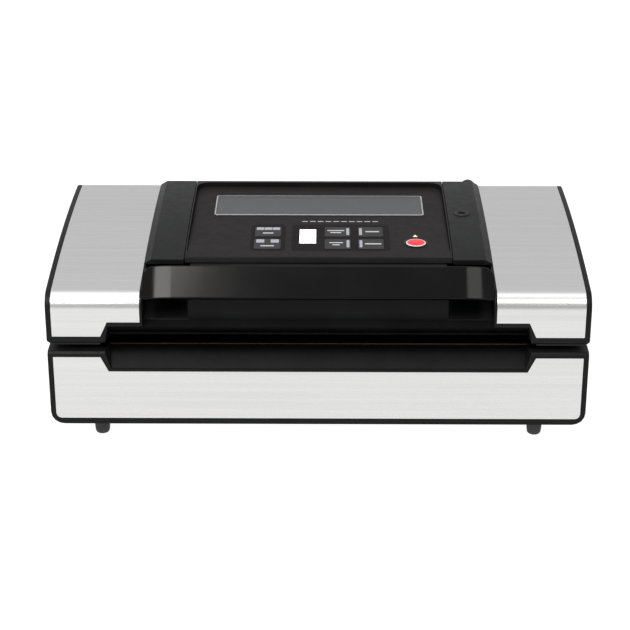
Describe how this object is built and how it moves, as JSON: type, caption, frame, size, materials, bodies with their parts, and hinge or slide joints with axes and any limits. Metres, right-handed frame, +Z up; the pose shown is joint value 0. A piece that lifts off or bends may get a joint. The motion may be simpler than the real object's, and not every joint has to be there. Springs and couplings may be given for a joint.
{
  "type": "vacuum packing machine",
  "caption": "Countertop suction vacuum packing machine: hinged lid with control panel, push-down locking handle, front bag mouth and heated sealing bar.",
  "frame": {"origin": "centre of the whole footprint, on the ground under the feet", "axes": "+X to the operator's right, +Y from the bag mouth to the back, +Z up"},
  "size_m": [0.49, 0.2818, 0.17],
  "materials": {
    "black_abs": "fine moulded texture",
    "brushed_steel": "horizontal brushed grain",
    "zinc_steel": "plain machined",
    "gloss_black": "polished",
    "rubber": "matte",
    "foam_seal": "closed-cell foam",
    "red_silicone": "satin silicone",
    "ptfe_tape": "coated glass cloth",
    "aluminium": "cast and machined",
    "dark_plastic": "satin",
    "brass": "turned",
    "circuit_board": "solder mask",
    "membrane": "printed polyester film",
    "key_grey": "printed key area",
    "red_button": "translucent glossy",
    "display_white": "lit numeric display",
    "clear_window": "clear moulded window"
  },
  "bodies": {
    "base": {"base_shell": "black_abs", "bottom_plate": "zinc_steel", "front_fascia": "brushed_steel", "foot_front_left": "rubber", "foot_rear_left": "rubber", "foot_front_right": "rubber", "foot_rear_right": "rubber", "screw_front_left": "zinc_steel", "screw_rear_left": "zinc_steel", "screw_front_right": "zinc_steel", "screw_rear_right": "zinc_steel", "seal_bar": "aluminium", "heating_element": "zinc_steel", "ptfe_tape": "ptfe_tape", "lower_gasket": "foam_seal", "drip_tray": "dark_plastic", "latch_keeper_left": "zinc_steel", "latch_keeper_right": "zinc_steel", "pump_motor": "zinc_steel", "pump_crankcase": "aluminium", "pump_head": "dark_plastic", "vacuum_hose": "red_silicone", "release_valve": "dark_plastic", "power_supply": "circuit_board", "power_inlet": "black_abs", "base_hinge_left": "zinc_steel", "base_hinge_right": "zinc_steel", "hinge_pin_left": "zinc_steel", "hinge_pin_right": "zinc_steel", "conduit_hose": "rubber"},
    "pump_rotor": {"pump_eccentric": "brass"},
    "rocker": {"power_rocker": "gloss_black"},
    "lid": {"lid_shell": "black_abs", "steel_cover_left": "brushed_steel", "steel_cover_right": "brushed_steel", "lid_liner": "dark_plastic", "upper_gasket": "foam_seal", "pressure_strip": "red_silicone", "console": "black_abs", "shoulder_cover_left": "black_abs", "shoulder_cover_right": "black_abs", "canister_port": "gloss_black", "membrane_panel": "membrane", "window_pane": "clear_window", "display": "display_white", "control_board": "circuit_board", "lid_hinge_left": "zinc_steel", "lid_hinge_right": "zinc_steel", "conduit_elbow": "black_abs"},
    "lock": {"handle": "gloss_black", "lock_shaft": "zinc_steel", "lock_hook_left": "zinc_steel", "lock_hook_right": "zinc_steel"},
    "key_sealing": {"key_sealing": "key_grey"},
    "key_pressure": {"key_pressure": "key_grey"},
    "key_vacuum_seal": {"key_vacuum_seal": "key_grey"},
    "key_manual_seal": {"key_manual_seal": "key_grey"},
    "key_canister": {"key_canister": "key_grey"},
    "key_marinate": {"key_marinate": "key_grey"},
    "pulse": {"pulse_button": "red_button"}
  },
  "joints": [
    {"name": "lid_hinge", "type": "hinge", "parent": "base", "child": "lid", "pos_m": [0, 0.12712, 0.094], "axis": [-1, 0, 0], "range_deg": [-0.6, 70], "deforming": ["conduit_hose"]},
    {"name": "handle_lock", "type": "hinge", "parent": "lid", "child": "lock", "pos_m": [0, -0.06888, 0.142], "axis": [1, 0, 0], "range_deg": [0, 20]},
    {"name": "power_rocker_tilt", "type": "hinge", "parent": "base", "child": "rocker", "pos_m": [-0.163, 0.11812, 0.041], "axis": [1, 0, 0], "range_deg": [0, 12]},
    {"name": "pump_rotor_spin", "type": "hinge", "parent": "base", "child": "pump_rotor", "pos_m": [-0.038, 0.04612, 0.052], "axis": [1, 0, 0], "continuous": true},
    {"name": "key_sealing_press", "type": "slide", "parent": "lid", "child": "key_sealing", "axis": [0, 0.0098, -1], "range_m": [0, 0.0005]},
    {"name": "key_pressure_press", "type": "slide", "parent": "lid", "child": "key_pressure", "axis": [0, 0.0098, -1], "range_m": [0, 0.0005]},
    {"name": "key_vacuum_seal_press", "type": "slide", "parent": "lid", "child": "key_vacuum_seal", "axis": [0, 0.0098, -1], "range_m": [0, 0.0005]},
    {"name": "key_manual_seal_press", "type": "slide", "parent": "lid", "child": "key_manual_seal", "axis": [0, 0.0098, -1], "range_m": [0, 0.0005]},
    {"name": "key_canister_press", "type": "slide", "parent": "lid", "child": "key_canister", "axis": [0, 0.0098, -1], "range_m": [0, 0.0005]},
    {"name": "key_marinate_press", "type": "slide", "parent": "lid", "child": "key_marinate", "axis": [0, 0.0098, -1], "range_m": [0, 0.0005]},
    {"name": "pulse_press", "type": "slide", "parent": "lid", "child": "pulse", "axis": [0, 0.0098, -1], "range_m": [0, 0.0015]}
  ]
}
